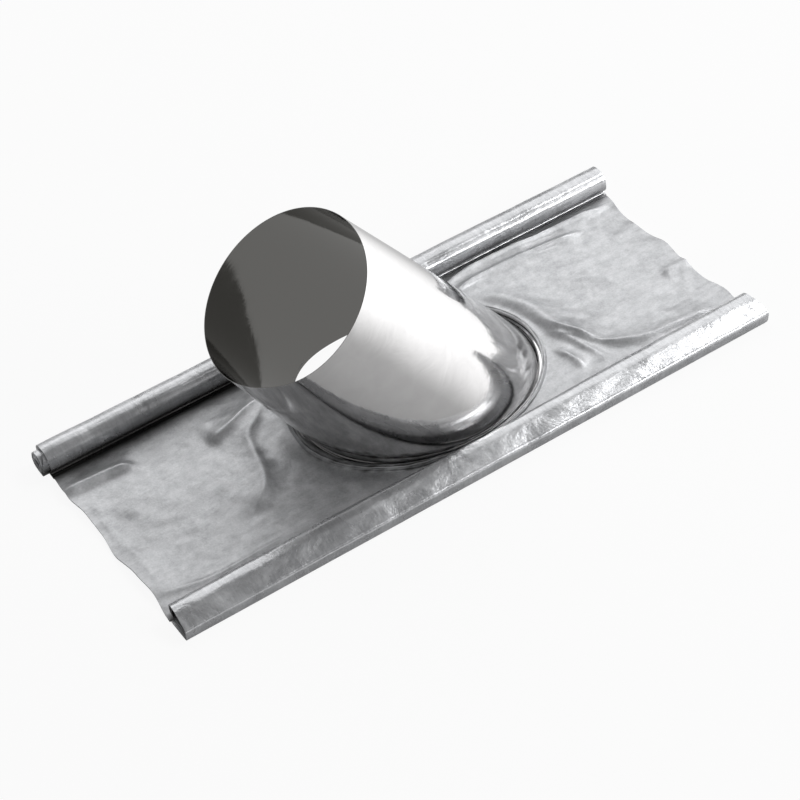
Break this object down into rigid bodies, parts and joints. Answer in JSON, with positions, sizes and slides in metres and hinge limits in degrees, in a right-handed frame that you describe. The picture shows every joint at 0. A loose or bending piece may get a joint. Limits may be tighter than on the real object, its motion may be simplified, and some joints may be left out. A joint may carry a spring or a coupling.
{
  "type": "pipe flashing boot",
  "caption": "Leaning stainless collar for a round pipe, seamed into a lead apron whose two long sides are rolled up on top of it.",
  "frame": {"origin": "middle of the rectangle that the rolled-up apron covers, on the plane it lies on", "axes": "+X along the rolls, away from the side the collar leans to; +Y towards the rounder roll; +Z away from the roof"},
  "size_m": [0.612, 0.2646, 0.2148],
  "materials": {
    "stainless": "polished",
    "lead": "satin"
  },
  "bodies": {
    "root": {"collar": "stainless", "lead_apron": "lead"}
  },
  "joints": []
}
